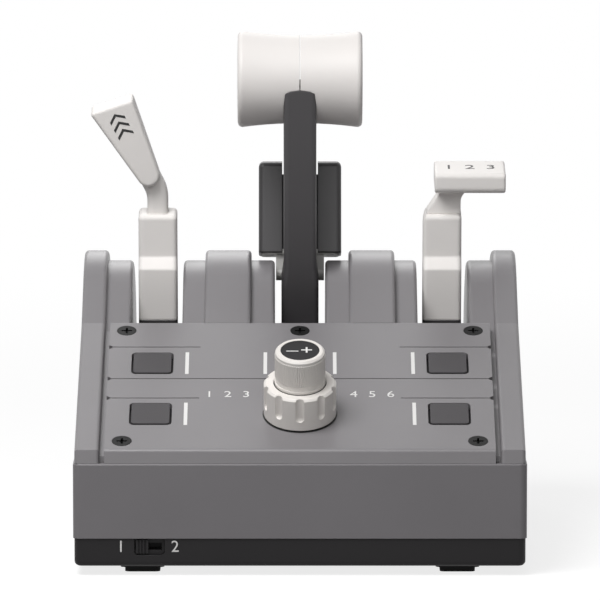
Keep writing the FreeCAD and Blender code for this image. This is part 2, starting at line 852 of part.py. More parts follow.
# ---- inside the case ----
def make_ballast():
    """Steel plate that keeps the light case on the desk, cleared for the thread bosses."""
    half = insert_spacing_x / 2 + ballast_side
    end = insert_spacing_y / 2 + ballast_end
    plate = box(-half, half, -end, end, floor_top, ballast_top)
    boss = insert_radius + insert_wall
    holes = [rod(boss + ballast_gap, (x, y, 0), (x, y, deck_top)) for x, y in insert_places()]
    holes.append(rod(centre_boss_radius + ballast_gap, (0, 0, 0), (0, 0, deck_top)))
    return plate.cut(holes)


def block_places():
    cheek_x = side_slot_outer + wall + block_gap + block_width / 2
    return [-cheek_x, -ridge_column_x, ridge_column_x, cheek_x]


def make_bearing_blocks():
    blocks = []
    for x in block_places():
        x0 = x - block_width / 2
        x1 = x + block_width / 2
        flange = box(x0, x1, pivot_y - block_flange / 2, pivot_y + block_flange / 2, deck_top,
                     deck_top + block_flange_height)
        body = box(x0, x1, pivot_y - block_depth / 2, pivot_y + block_depth / 2, deck_top, pivot_z)
        crown = rod(block_depth / 2, (x0, pivot_y, pivot_z), (x1, pivot_y, pivot_z))
        crown = crown.common(box(x0, x1, 0, y_rear, deck_top, crown_height))
        bore = rod(shaft_radius, (x0 - 1, pivot_y, pivot_z), (x1 + 1, pivot_y, pivot_z))
        blocks.append(fuse(flange, body, crown).cut(bore))
    return blocks


def make_shaft():
    return rod(shaft_radius, (-shaft_half_length, pivot_y, pivot_z), (shaft_half_length, pivot_y, pivot_z))


def make_washers():
    washers = []
    for x in lever_places:
        for side in (-1, 1):
            inner = x + side * (drum_width / 2 + running_clearance)
            outer = x + side * (drum_width / 2 + running_clearance + washer_thickness)
            ring = rod(washer_radius, (inner, pivot_y, pivot_z), (outer, pivot_y, pivot_z))
            washers.append(ring.cut(rod(shaft_radius, (inner - side, pivot_y, pivot_z),
                                        (outer + side, pivot_y, pivot_z))))
    return washers


def make_magnet(x, lean):
    """Round magnet let into the side of a drum, opposite its sensor board."""
    face = drum_width / 2
    start = (face - magnet_thickness, 0, -magnet_drop)
    return on_shaft(rod(magnet_radius, start, (face, 0, -magnet_drop)), lean, x)


def make_sensor_boards():
    """Upright boards hung from the deck beside each drum, with the Hall chip facing the magnet."""
    boards = []
    half = sensor_width / 2
    chip_half = chip_size / 2
    chip_z = pivot_z - magnet_drop
    for x in lever_places:
        face = x + drum_width / 2 + sensor_gap + chip_height
        board = box(face, face + board_thickness, pivot_y - half, pivot_y + half,
                    deck_bottom - sensor_height, deck_bottom)
        chip = box(face - chip_height, face, pivot_y - chip_half, pivot_y + chip_half,
                   chip_z - chip_half, chip_z + chip_half)
        boards.append(fuse(board, chip))
    return boards


def make_friction_shoes():
    """Felt-faced posts under the speed brake and thrust drums; they set the drag."""
    shoes = []
    for x in (-side_slot_x, 0.0):
        post = box(x - shoe_width / 2, x + shoe_width / 2, pivot_y - shoe_depth / 2, pivot_y + shoe_depth / 2,
                   ballast_top, pivot_z - drum_radius + shoe_wrap)
        hollow = rod(drum_radius + shoe_gap, (x - shoe_width, pivot_y, pivot_z),
                     (x + shoe_width, pivot_y, pivot_z))
        shoes.append(post.cut(hollow))
    return shoes


def make_detent_post():
    half = leaf_width / 2
    return box(side_slot_x - half, side_slot_x + half, pivot_y + leaf_rear - leaf_width, pivot_y + leaf_rear,
               ballast_top, spring_level)


def make_detent_spring():
    """Leaf spring whose nose sits in the notches of the flap drum."""
    x0 = side_slot_x - leaf_width / 2
    x1 = side_slot_x + leaf_width / 2
    front = pivot_y - leaf_front
    leaf = box(x0, x1, front, pivot_y + leaf_rear, spring_level, spring_level + leaf_thickness)
    nose_z = pivot_z - drum_radius - shoe_gap * 2 - detent_radius
    nose = rod(detent_radius, (x0, pivot_y, nose_z), (x1, pivot_y, nose_z))
    keep = box(x0, x1, front, pivot_y + leaf_front, spring_level + leaf_thickness / 2, pivot_z)
    return fuse(leaf, nose.common(keep))


def make_main_board():
    """Controller board on the front half of the base, on four stand-offs."""
    z = ballast_top + main_board_lift
    half = main_board_width / 2
    front = y_front + main_board_setback
    rear = front + main_board_depth
    top = z + board_thickness
    board = box(-half, half, front, rear, z, top)
    centre = (front + rear) / 2
    side = processor_size / 2
    chip = box(-side, side, centre - side, centre + side, top, top + processor_height)
    parts = [chip]
    for x in (-connector_x, connector_x):
        parts.append(box(x - connector_width / 2, x + connector_width / 2, front + main_post_end,
                         front + main_post_end + connector_depth, top, top + connector_height))
    rows = (front + main_post_end, rear - 2 * main_post_end)
    posts = [rod(main_post_radius, (x, y, ballast_top), (x, y, z))
             for x in (main_post_inset - half, half - main_post_inset) for y in rows]
    return fuse(board, *parts, *posts)


# ---- panel controls, drawn in the panel's own frame ----
def make_button(x, y):
    half_width = button_width / 2
    half_length = button_length / 2
    cap = rounded_block(x - half_width, x + half_width, y - half_length, y + half_length,
                        -button_foot, button_raise, button_radius)
    cap = round_edges(cap, button_edge_radius, lambda edge: abs(edge.CenterOfMass.z - button_raise) < 1e-6)
    top = -panel_skin - flange_drop
    flange = box(x - half_width - flange_width, x + half_width + flange_width,
                 y - half_length - flange_width, y + half_length + flange_width, top - flange_thickness, top)
    return on_panel(fuse(cap, flange))


def make_button_board():
    top = -panel_skin - board_gap
    reach = button_x + board_side
    board = box(-reach, reach, front_row - board_front, rear_row + board_rear, top - board_thickness, top)
    half = encoder_size / 2 + 0.5
    board = board.cut(box(-half, half, front_row - half, front_row + half, 2 * top, 0))
    return on_panel(board)


def make_tact_switches():
    top = -panel_skin - board_gap
    half = tact_size / 2
    return [on_panel(box(x - half, x + half, y - half, y + half, top, top + tact_height))
            for x, y in button_places()]


def selector_rod(radius, low, high):
    return rod(radius, (0, front_row, low), (0, front_row, high))


def make_encoder():
    """Body below the panel with the bushing that comes up through it."""
    half = encoder_size / 2
    low = -panel_skin - encoder_height
    body = box(-half, half, front_row - half, front_row + half, low, -panel_skin)
    bushing = selector_rod(bushing_radius, -panel_skin - 0.1, bushing_height)
    bore = selector_rod(outer_shaft_radius + running_clearance, low + 4, 5)
    pit = selector_rod(inner_shaft_radius + running_clearance, low + 1, 5)
    return on_panel(fuse(body, bushing).cut([bore, pit]))


def outer_top():
    return knob_lift + outer_knob_height


def make_outer_shaft():
    low = -panel_skin - encoder_height + 4.2
    tube = selector_rod(outer_shaft_radius, low, outer_top() - outer_knob_well - 1.5)
    return on_panel(tube.cut(selector_rod(inner_shaft_radius + running_clearance, low - 1, 30)))


def make_outer_knob():
    """Lower knob: plain skirt, round-bottomed flutes, a shallow well for the upper knob."""
    top = outer_top()
    knob = selector_rod(outer_knob_radius, knob_lift, top)
    rims = [edge for edge in knob.Edges if abs(edge.CenterOfMass.z - top) < 1e-6 and len(edge.Vertexes) == 1]
    knob = knob.makeChamfer(knob_chamfer, rims[:1])
    cuts = []
    for index in range(flute_count):
        angle = 2 * math.pi * (index + 0.5) / flute_count
        reach = outer_knob_radius + flute_radius * 0.35
        x = reach * math.cos(angle)
        y = front_row + reach * math.sin(angle)
        low = knob_lift + flute_foot + flute_radius
        cuts.append(fuse(rod(flute_radius, (x, y, low), (x, y, top + 1)),
                         Part.makeSphere(flute_radius, V(x, y, low))))
    cuts.append(selector_rod(outer_shaft_radius, 0, top - outer_knob_well - 1.5))
    cuts.append(selector_rod(inner_shaft_radius + 0.5, 0, top + 1))
    cuts.append(selector_rod(bushing_radius + 1.2, 0, bushing_height + 1.4))
    cuts.append(selector_rod(inner_knob_radius + 0.4, top - outer_knob_well, top + 1))
    return on_panel(knob.cut(cuts))


def make_push_shaft():
    low = -panel_skin - encoder_height + 1 + push_travel + 0.2
    return on_panel(selector_rod(inner_shaft_radius, low, outer_top() + inner_knob_height - knob_wall))


def make_inner_knob():
    """Upper knob: thin lip at its foot, white rim round the cap's seat."""
    low = outer_top()
    top = low + inner_knob_height
    knob = fuse(selector_rod(inner_knob_radius, low, low + inner_knob_lip),
                selector_rod(inner_knob_radius - lip_step, low + inner_knob_lip, top))
    rims = [edge for edge in knob.Edges if abs(edge.CenterOfMass.z - top) < 1e-6 and len(edge.Vertexes) == 1]
    knob = knob.makeChamfer(knob_chamfer, rims[:1])
    return on_panel(knob.cut([
        selector_rod(inner_shaft_radius + running_clearance, low - 1, top - knob_wall),
        selector_rod(cap_radius, top - cap_rim, top + 1),
    ]))


def make_knob_cap():
    top = outer_top() + inner_knob_height
    return on_panel(selector_rod(cap_radius, top - cap_rim, top - cap_drop))


# ---- slide switch in the base ----
def slider_left():
    return switch_x - switch_width / 2 + slider_gap


def slider_middle():
    return base_top - switch_height / 2


def make_switch_body():
    """Black frame behind the window, with a slot for the slider's stem."""
    inside = y_front + base_inset + tray_wall
    face = y_front + base_inset + slider_setback + slider_thickness + slider_clearance
    x0 = switch_x - switch_width / 2
    x1 = switch_x + switch_width / 2
    frame = box(x0, x1, face, inside, base_top - switch_height, base_top)
    back = box(x0 - switch_side_wall, x1 + switch_side_wall, inside, inside + switch_body_depth,
               floor_top, base_top)
    stem_half = slider_stem_height / 2 + slider_clearance
    slot = box(slider_left() - slider_play, slider_left() + slider_width + slider_travel + slider_play,
               face - 1, face + slider_stem_length + slider_play,
               slider_middle() - stem_half, slider_middle() + stem_half)
    frame = round_edges(frame, switch_corner, lambda edge: along(edge, Y_AXIS)
                        and abs(edge.CenterOfMass.z - base_top + switch_height) < 0.01)
    return fuse(frame, back).cut(slot)


def make_switch_slider():
    """Ribbed thumb pad with a stem into the switch."""
    front = y_front + base_inset + slider_setback
    face = front + slider_thickness
    x0 = slider_left()
    x1 = x0 + slider_width
    low = base_top - switch_height + slider_gap
    high = base_top - slider_gap
    pad = box(x0, x1, front, face, low, high)
    half = slider_rib_width / 2
    for index in range(slider_rib_count):
        x = x0 + slider_width * (index + 1) / (slider_rib_count + 1)
        pad = pad.cut(box(x - half, x + half, front - 1, front + slider_thickness / 2, low - 1, high + 1))
    half = slider_stem_height / 2
    stem = box(x0, x1, face - 0.1, face + slider_stem_length, slider_middle() - half, slider_middle() + half)
    return fuse(pad, stem)


# ---- levers, drawn upright with the shaft at the origin ----
def make_drum():
    half = drum_width / 2
    return rod(drum_radius, (-half, 0, 0), (half, 0, 0))


def bored(shape):
    """Clear the running bore on the shaft and the magnet's pocket."""
    half = drum_width / 2
    bore = rod(shaft_radius + running_clearance, (-half - 1, 0, 0), (half + 1, 0, 0))
    pocket = rod(magnet_radius, (half - magnet_thickness, 0, -magnet_drop), (half + 1, 0, -magnet_drop))
    return shape.cut([bore, pocket])


def side_profile(top):
    """Side view of a side lever: slim above, stepped forward lower down."""
    low = drum_radius * 0.6
    return [
        (-side_shelf_front, low), (-side_shelf_front, side_shelf_low), (-side_arm_front, side_shelf_high),
        (-side_arm_front, top), (side_arm_rear, top), (side_arm_rear, low),
    ]


def side_arm_blank(top):
    """Outside of a side lever, with soft edges all round."""
    half = side_arm_width / 2
    low = drum_radius * 0.6
    arm = prism_x(side_profile(top), -half, half)
    arm = round_edges(arm, shelf_edge, lambda edge: along(edge, X_AXIS)
                      and drum_radius < edge.CenterOfMass.z < top - 1)
    return round_edges(arm, side_arm_edge, lambda edge: edge.CenterOfMass.z > low + 1
                       and (abs(abs(edge.CenterOfMass.x) - half) < 1e-6 or edge.CenterOfMass.z > top - 0.01))


def hub_core(grow=0.0):
    """Tongue of the dark hub that the pale arm slides over."""
    half = side_arm_width / 2 - core_wall + grow
    return box(-half, half, core_wall - side_arm_front - grow, side_arm_rear - core_wall + grow,
               side_arm_foot - 1, side_arm_foot + core_height + grow)


def side_hub(blank):
    """Drum and the foot of the lever in one dark moulding."""
    reach = drum_radius * 2
    foot = blank.common(box(-reach, reach, -reach, reach, 0, side_arm_foot))
    return bored(fuse(make_drum(), foot, hub_core()))


def side_arm(blank):
    """Pale upper part of the lever, hollow at its foot for the hub's tongue."""
    reach = drum_radius * 2
    upper = blank.common(box(-reach, reach, -reach, reach, side_arm_foot, 2 * speed_arm_top))
    return upper.cut(hub_core(running_clearance))


def stem_path(low):
    """Upright line, bend towards the outside, straight run behind the paddle."""
    turn = math.radians(stem_tilt)
    bend_low = speed_arm_top + stem_rise

    def bend(angle):
        return V(-stem_bend_radius * (1 - math.cos(angle)), 0, bend_low + stem_bend_radius * math.sin(angle))

    end = bend(turn) + V(-math.sin(turn), 0, math.cos(turn)) * (stem_bend_radius + stem_straight)
    return Part.Wire([
        Part.LineSegment(V(0, 0, low), bend(0)).toShape(),
        Part.Arc(bend(0), bend(turn / 2), bend(turn)).toShape(),
        Part.LineSegment(bend(turn), end).toShape(),
    ])


def rounded_section(width, depth, radius, z):
    """Rounded rectangle, flat at a height, as a closed wire."""
    block = rounded_block(-width / 2, width / 2, -depth / 2, depth / 2, z, z + 1, radius)
    face = [face for face in block.Faces if abs(face.CenterOfMass.z - z) < 1e-6][0]
    return face.OuterWire


def make_stem():
    low = speed_arm_top - socket_depth
    section = rounded_section(stem_width, stem_depth, stem_corner, low)
    return stem_path(low).makePipeShell([section], True, False)


def make_paddle():
    """Wedge-shaped finger plate: round foot, wide thick top that falls towards the inside."""
    half = paddle_top_width / 2
    foot = paddle_foot_radius
    low_top = paddle_length - paddle_top_fall

    def touch(height):
        """Where the line from a top corner meets the round foot."""
        reach = math.hypot(half, height)
        side = math.atan2(half, height) + math.acos(foot / reach)
        return foot * math.sin(side), foot * math.cos(side)

    depth = paddle_top_depth * 2
    inner = touch(low_top)
    outer = touch(paddle_length)

    def at(x, z):
        return V(x, -depth, z)

    outline = Part.Wire([
        Part.LineSegment(at(*inner), at(half, low_top)).toShape(),
        Part.LineSegment(at(half, low_top), at(-half, paddle_length)).toShape(),
        Part.LineSegment(at(-half, paddle_length), at(-outer[0], outer[1])).toShape(),
        Part.Arc(at(-outer[0], outer[1]), at(0, -foot), at(*inner)).toShape(),
    ])
    plate = Part.Face(outline).extrude(V(0, 2 * depth, 0))
    spread = (paddle_top_depth - paddle_foot_depth) / 2
    rear = -0.5
    foot_front = rear - paddle_foot_depth
    wedge = prism_x([
        (foot_front, -foot - 1), (rear, -foot - 1), (rear + spread, paddle_length + 1),
        (foot_front - spread, paddle_length + 1),
    ], -depth, depth)
    paddle = plate.common(wedge)
    paddle = paddle.makeFillet(paddle_edge, paddle.Edges)
    turn = math.radians(stem_tilt)
    rise = stem_bend_radius * math.sin(turn) + paddle_seat
    drift = stem_bend_radius * (1 - math.cos(turn)) + paddle_seat * math.tan(turn)
    paddle.rotate(V(0, 0, 0), Y_AXIS, -stem_tilt)
    paddle.translate(V(paddle_shift - drift, 0, speed_arm_top + stem_rise + rise))
    return paddle


def make_speed_brake():
    stem = make_stem()
    blank = side_arm_blank(speed_arm_top)
    return side_hub(blank), side_arm(blank).cut(stem), fuse(stem, make_paddle())


def flap_outline():
    """Front view of the flap lever's upper end: curved left shoulder, hollow right corner."""
    half = side_arm_width / 2
    radius = neck_bend_radius
    start = flap_arm_top - neck_start
    sweep = math.radians(neck_sweep)
    tip = wing_bottom + 1
    depth = -2 * drum_radius
    low = -2 * drum_radius

    def shoulder(angle):
        return V(-half + radius * (1 - math.cos(angle)), depth, start + radius * math.sin(angle))

    end = shoulder(sweep)
    left = V(end.x + (tip - end.z) * math.tan(sweep), depth, tip)
    corner = wing_bottom - neck_hollow
    right = half - 0.4
    hollow_end = V(right + neck_hollow, depth, wing_bottom)
    middle = V(right + neck_hollow * (1 - math.cos(math.pi / 4)), depth,
               corner + neck_hollow * math.sin(math.pi / 4))
    points = [V(-half - 1, depth, low), V(-half - 1, depth, start - 3), V(-half, depth, start - 3),
              shoulder(0)]
    edges = [Part.LineSegment(a, b).toShape() for a, b in zip(points, points[1:])]
    edges.append(Part.Arc(shoulder(0), shoulder(sweep / 2), end).toShape())
    edges.append(Part.LineSegment(end, left).toShape())
    edges.append(Part.LineSegment(left, V(hollow_end.x, depth, tip)).toShape())
    edges.append(Part.LineSegment(V(hollow_end.x, depth, tip), hollow_end).toShape())
    edges.append(Part.Arc(hollow_end, middle, V(right, depth, corner)).toShape())
    points = [V(right, depth, corner), V(right, depth, flap_arm_top), V(half + 1, depth, flap_arm_top - 1),
              V(half + 1, depth, low), V(-half - 1, depth, low)]
    edges += [Part.LineSegment(a, b).toShape() for a, b in zip(points, points[1:])]
    return Part.Face(Part.Wire(edges)).extrude(V(0, -2 * depth, 0))


def make_wing():
    """Flat bar across the lever, rounded like a flap's leading edge."""
    bar = box(wing_inner_x, wing_outer_x, -wing_front, wing_rear, wing_bottom, wing_bottom + wing_thickness)

    def at(edge, y, z):
        centre = edge.CenterOfMass
        return along(edge, X_AXIS) and abs(centre.y - y) < 1e-6 and abs(centre.z - z) < 1e-6

    top = wing_bottom + wing_thickness
    bar = round_edges(bar, wing_low_edge, lambda edge: at(edge, -wing_front, wing_bottom)
                      or at(edge, wing_rear, wing_bottom))
    bar = round_edges(bar, wing_high_edge, lambda edge: at(edge, -wing_front, top)
                      or at(edge, wing_rear, top))
    ends = (wing_inner_x, wing_outer_x)
    return round_edges(bar, wing_end_edge,
                       lambda edge: any(abs(edge.CenterOfMass.x - x) < 1e-6 for x in ends))


def make_flap():
    outline = flap_outline()
    half = side_arm_width / 2
    neck = box(-half, half + neck_flare, -neck_depth / 2, neck_depth / 2, flap_arm_top, wing_bottom + 0.5)
    tang = box(tang_left, tang_right, -neck_depth / 2 + 1, neck_depth / 2 - 1,
               flap_arm_top - socket_depth, flap_arm_top + 0.5)
    handle = fuse(neck.common(outline), tang, make_wing())
    blank = side_arm_blank(flap_arm_top)
    hub = side_hub(blank)
    for angle in detent_angles:
        turn = math.radians(angle + side_lean)
        y = -drum_radius * math.sin(turn)
        z = -drum_radius * math.cos(turn)
        hub = hub.cut(rod(detent_radius, (-drum_width, y, z), (drum_width, y, z)))
    return hub, side_arm(blank.common(outline)).cut(tang), handle


def thrust_arm_blank():
    """The thrust arm without its hub: side view and front view crossed."""
    half = thrust_arm_width / 2
    foot = thrust_foot_width / 2
    low = drum_radius * 0.6
    side = prism_x([
        (-thrust_arm_front, low), (-thrust_arm_front, thrust_arm_top + 1), (0, thrust_arm_top + 5),
        (thrust_arm_rear, thrust_arm_top + 5), (thrust_arm_rear, low),
    ], -thrust_foot_width, thrust_foot_width)
    peak = thrust_arm_top
    right = [(foot, low), (foot, thrust_foot_top), (half, thrust_foot_top + thrust_taper), (half, peak - 2.6),
             (half - 0.8, peak - 1.0), (half - 2.6, peak - 0.1), (0, peak + 0.5)]
    left = [(-x, z) for x, z in reversed(right[:-1])]
    arm = side.common(prism_y(right + left, -2 * thrust_arm_front, 2 * thrust_arm_front))
    return round_edges(arm, thrust_arm_edge, lambda edge: abs(edge.CenterOfMass.y + thrust_arm_front) < 1e-6
                       and abs(edge.CenterOfMass.x) > half - 1e-6 and edge.Length > 5)


def make_thrust_arm():
    half = lug_width / 2
    eye = rod(lug_radius, (-half, pin_back, pin_height), (half, pin_back, pin_height))
    web = prism_x([
        (thrust_arm_rear - 1, pin_height - web_drop), (pin_back + 1, pin_height - lug_radius + 0.2),
        (pin_back + 1, pin_height + lug_radius - 0.2), (thrust_arm_rear - 1, pin_height + web_rise),
    ], -half, half)
    arm = fuse(thrust_arm_blank(), make_drum(), eye, web)
    return bored(arm).cut([pin(), bolt()])


def pin():
    half = fork_width / 2
    return rod(pin_radius, (-half, pin_back, pin_height), (half, pin_back, pin_height))


def bolt():
    shank = rod(bolt_radius, (-bolt_reach, -bolt_ahead, bolt_height), (bolt_reach, -bolt_ahead, bolt_height))
    head = rod(bolt_head_radius, (-bolt_reach - bolt_head, -bolt_ahead, bolt_height),
               (-bolt_reach, -bolt_ahead, bolt_height))
    return fuse(shank, head)


def spool():
    """Waisted grip, turned about its own axis across the case."""
    length = spool_half_length
    axis_z = spool_height
    outline = Part.Wire([
        Part.LineSegment(V(-length, 0, 0), V(-length, 0, spool_radius)).toShape(),
        Part.Arc(V(-length, 0, spool_radius), V(0, 0, spool_waist), V(length, 0, spool_radius)).toShape(),
        Part.LineSegment(V(length, 0, spool_radius), V(length, 0, 0)).toShape(),
        Part.LineSegment(V(length, 0, 0), V(-length, 0, 0)).toShape(),
    ])
    grip = Part.Face(outline).revolve(V(0, 0, 0), X_AXIS, 360)
    grip = round_edges(grip, spool_edge, lambda edge: abs(abs(edge.CenterOfMass.x) - length) < 1e-6
                       and edge.Curve.TypeId == "Part::GeomCircle")
    grip.translate(V(0, spool_behind, axis_z))
    return grip


def spool_rod(radius, x0, x1):
    return rod(radius, (x0, spool_behind, spool_height), (x1, spool_behind, spool_height))


def end_switch_face():
    return spool_half_length - end_button_drop - end_button_length - end_button_travel - 0.3


def make_spool_halves():
    arm = thrust_arm_blank()
    counterbore = rod(bolt_head_radius + 0.2, (-spool_half_length - 1, -bolt_ahead, bolt_height),
                      (-bolt_reach, -bolt_ahead, bolt_height))
    whole = spool().cut([arm, bolt(), counterbore])
    floor = end_switch_face() - end_switch_depth
    halves = []
    for side in (-1, 1):
        pocket = spool_rod(end_button_radius + end_button_gap,
                           *sorted((side * floor, side * (spool_half_length + 1))))
        near, far = sorted((side * spool_seam / 2, side * 2 * spool_half_length))
        keep = box(near, far, -2 * spool_radius, 3 * spool_radius, thrust_foot_top, 2 * spool_height)
        halves.append(whole.common(keep).cut(pocket))
    return halves


def make_end_button(side):
    inner = side * (spool_half_length - end_button_drop - end_button_length)
    outer = side * (spool_half_length - end_button_drop)
    cap = spool_rod(end_button_radius, inner, outer)
    rims = [edge for edge in cap.Edges if abs(edge.CenterOfMass.x - outer) < 1e-6 and len(edge.Vertexes) == 1]
    return cap.makeFillet(0.6, rims[:1])


def make_end_switch(side):
    half = tact_size / 2
    x0, x1 = sorted((side * (end_switch_face() - end_switch_depth), side * end_switch_face()))
    return box(x0, x1, spool_behind - half, spool_behind + half, spool_height - half, spool_height + half)


# ---- reverser, drawn upright with its pin at the origin ----
def place_reverser(shape):
    """Tilt on the pin, then go with the thrust arm's rest position."""
    placed = shape.copy()
    placed.rotate(V(0, 0, 0), X_AXIS, -reverser_tilt - thrust_lean)
    placed.translate(V(0, pin_back, pin_height))
    return on_shaft(placed, thrust_lean)


def grip_seat(grow=0.0):
    """Cross plate that the grip is moulded over."""
    half = grip_width / 2 - plate_inset + grow
    return rounded_block(-half, half, plate_inset - grip_front - grow, grip_rear - plate_inset + grow,
                         plate_foot, plate_foot + plate_thickness, grip_edge)


def make_reverser_fork():
    """Two cheeks on the pin below a cross plate."""
    inner = lug_width / 2 + fork_gap
    outer = fork_width / 2
    eye = fork_eye_radius
    cheeks = []
    for side in (-1, 1):
        x0, x1 = sorted((side * inner, side * outer))
        blade = prism_x([(-eye + 0.2, 0), (2 * plate_inset - grip_front, plate_foot + 0.5),
                         (grip_rear - 2 * plate_inset, plate_foot + 0.5), (eye - 0.2, 0)], x0, x1)
        cheeks.append(fuse(rod(eye, (x0, 0, 0), (x1, 0, 0)), blade))
    bore = rod(pin_radius + running_clearance, (-fork_width, 0, 0), (fork_width, 0, 0))
    return place_reverser(fuse(grip_seat(), *cheeks).cut(bore))


def make_reverser_grip():
    """Rubbery block with a slot for the arm; the slot is open right through near the top."""
    half = grip_width / 2
    block = prism_x([(-grip_front, grip_foot), (-grip_front, grip_top), (grip_rear, grip_top + grip_crown),
                     (grip_rear, grip_foot)], -half, half)
    block = round_edges(block, grip_edge, lambda edge: along(edge, Z_AXIS)
                        or edge.CenterOfMass.z > grip_top - 0.01)
    block = round_edges(block, grip_foot_edge, lambda edge: edge.CenterOfMass.z < grip_foot + 0.01)
    notch = grip_notch / 2
    high = 2 * grip_top
    slot = box(-notch, notch, -grip_front - 1, grip_rear - grip_web, 0, high)
    gate = box(-notch, notch, -grip_front - 1, grip_rear + 1, grip_top - gate_depth, high)
    return place_reverser(block.cut([slot, gate, grip_seat()]))


# ---- write every node ----
def build():
    os.makedirs("parts", exist_ok=True)
    cheek = make_cheek()
    ridge = make_ridge()
    save("right_cheek", cheek)
    save("left_cheek", mirrored(cheek))
    save("right_crown", ridge)
    save("left_crown", mirrored(ridge))
    save("control_panel", make_panel())
    save("panel_screws", *make_panel_screws())
    save("panel_beam", make_panel_beam())
    save("slot_ends", *make_slot_ends())
    save("lower_shell", make_lower_shell())
    save("base_tray", make_base_tray())
    save("rubber_feet", *make_feet())
    save("thread_inserts", *make_thread_inserts())
    save("centre_insert", make_centre_insert())
    save("case_screws", *make_case_screws())
    save("ballast_plate", make_ballast())
    save("main_board", make_main_board())
    save("usb_board", make_usb_board())
    save("usb_socket", make_usb_socket())
    save("bearing_blocks", *make_bearing_blocks())
    save("lever_shaft", make_shaft())
    save("thrust_washers", *make_washers())
    save("sensor_boards", *make_sensor_boards())
    save("friction_shoes", *make_friction_shoes())
    save("detent_post", make_detent_post())
    save("detent_spring", make_detent_spring())

    save("button_board", make_button_board())
    save("tact_switches", *make_tact_switches())
    names = ("upper_left", "upper_right", "lower_left", "lower_right")
    for name, (x, y) in zip(names, button_places()):
        save("button_" + name, make_button(x, y))
    save("encoder", make_encoder())
    save("outer_shaft", make_outer_shaft())
    save("outer_knob", make_outer_knob())
    save("push_shaft", make_push_shaft())
    save("inner_knob", make_inner_knob())
    save("knob_cap", make_knob_cap())
    save("slide_switch", make_switch_body())
    save("switch_slider", make_switch_slider())

    hub, arm, handle = make_speed_brake()
    save("speed_brake_hub", on_shaft(hub, side_lean, -side_slot_x))
    save("speed_brake_arm", on_shaft(arm, side_lean, -side_slot_x))
    save("speed_brake_handle", on_shaft(handle, side_lean, -side_slot_x))
    save("speed_brake_magnet", make_magnet(-side_slot_x, side_lean))
    hub, arm, handle = make_flap()
    save("flap_hub", on_shaft(hub, side_lean, side_slot_x))
    save("flap_arm", on_shaft(arm, side_lean, side_slot_x))
    save("flap_handle", on_shaft(handle, side_lean, side_slot_x))
    save("flap_magnet", make_magnet(side_slot_x, side_lean))
    save("thrust_arm", on_shaft(make_thrust_arm(), thrust_lean))
    save("thrust_magnet", make_magnet(0.0, thrust_lean))
    save("reverser_pin", on_shaft(pin(), thrust_lean))
    save("handle_bolt", on_shaft(bolt(), thrust_lean))
    left_half, right_half = make_spool_halves()
    save("thrust_handle_left", on_shaft(left_half, thrust_lean))
    save("thrust_handle_right", on_shaft(right_half, thrust_lean))
    save("handle_button_left", on_shaft(make_end_button(-1), thrust_lean))
    save("handle_button_right", on_shaft(make_end_button(1), thrust_lean))
    save("handle_switches", *[on_shaft(make_end_switch(side), thrust_lean) for side in (-1, 1)])
    save("reverser_fork", make_reverser_fork())
    save("reverser_grip", make_reverser_grip())


build()
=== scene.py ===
import bpy
import json
import math
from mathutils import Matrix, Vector


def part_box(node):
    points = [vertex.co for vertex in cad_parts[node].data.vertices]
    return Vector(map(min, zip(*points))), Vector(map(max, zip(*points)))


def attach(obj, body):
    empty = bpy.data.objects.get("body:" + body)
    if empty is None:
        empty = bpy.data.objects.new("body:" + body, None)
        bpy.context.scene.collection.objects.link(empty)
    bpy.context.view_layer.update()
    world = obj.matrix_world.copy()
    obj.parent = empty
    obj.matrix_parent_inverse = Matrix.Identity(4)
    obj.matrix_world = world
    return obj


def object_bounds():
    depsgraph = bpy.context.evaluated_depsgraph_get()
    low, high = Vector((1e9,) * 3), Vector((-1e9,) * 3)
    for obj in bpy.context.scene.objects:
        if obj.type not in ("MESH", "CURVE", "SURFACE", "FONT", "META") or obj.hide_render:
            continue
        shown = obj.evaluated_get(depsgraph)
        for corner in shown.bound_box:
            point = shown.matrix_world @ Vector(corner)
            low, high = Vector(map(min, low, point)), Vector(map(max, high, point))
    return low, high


# Throttle quadrant: finish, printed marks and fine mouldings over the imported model. Metres.
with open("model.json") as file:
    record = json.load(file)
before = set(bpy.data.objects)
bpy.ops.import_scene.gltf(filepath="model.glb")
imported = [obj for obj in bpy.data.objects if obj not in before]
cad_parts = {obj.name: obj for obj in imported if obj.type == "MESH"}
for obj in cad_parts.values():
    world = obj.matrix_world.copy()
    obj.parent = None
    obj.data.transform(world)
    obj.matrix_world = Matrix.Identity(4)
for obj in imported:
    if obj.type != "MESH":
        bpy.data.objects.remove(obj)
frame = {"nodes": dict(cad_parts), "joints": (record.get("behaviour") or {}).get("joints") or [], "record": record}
cad_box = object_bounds()
nodes = frame["nodes"]
joints = {joint["name"]: joint for joint in frame["joints"]}
MM = 0.001

# ---- view: low, from the front, through a long lens ----
elevation = math.radians(7.0)
camera_distance = 2.6
view_width = 0.2379         # seen across the picture at the front of the case
aim_height = 0.1096
sensor_width = 36.0

# ---- light and surroundings ----
lamps = (                   # name, place, aim, diameter of the disc, power
    ("key", (-0.24, -0.37, 0.70), (0, 0, 0.1), 0.4, 4.5),
    ("fill", (-0.02, -0.6, 0.5), (0, 0, 0.12), 0.4, 1.1),
    ("rim", (-0.1, 0.8, 0.6), (0, 0, 0.08), 0.5, 1.3),
)
surroundings_light = 0.12   # what the surroundings shed on the part
surroundings_seen = 1.0     # plain white where they are seen themselves
floor_half = 6.0
floor_matt = 0.3            # takes the shadow
floor_lift = 0.8            # glow that brings the lit floor up to white
floor_fade = (0.25, 0.9)    # from the middle: where the shadow starts to fade, and is gone

# ---- print ----
print_thickness = 0.06 * MM
digit_height = 4.6 * MM
font_share = 0.7            # height of a digit to the font's size

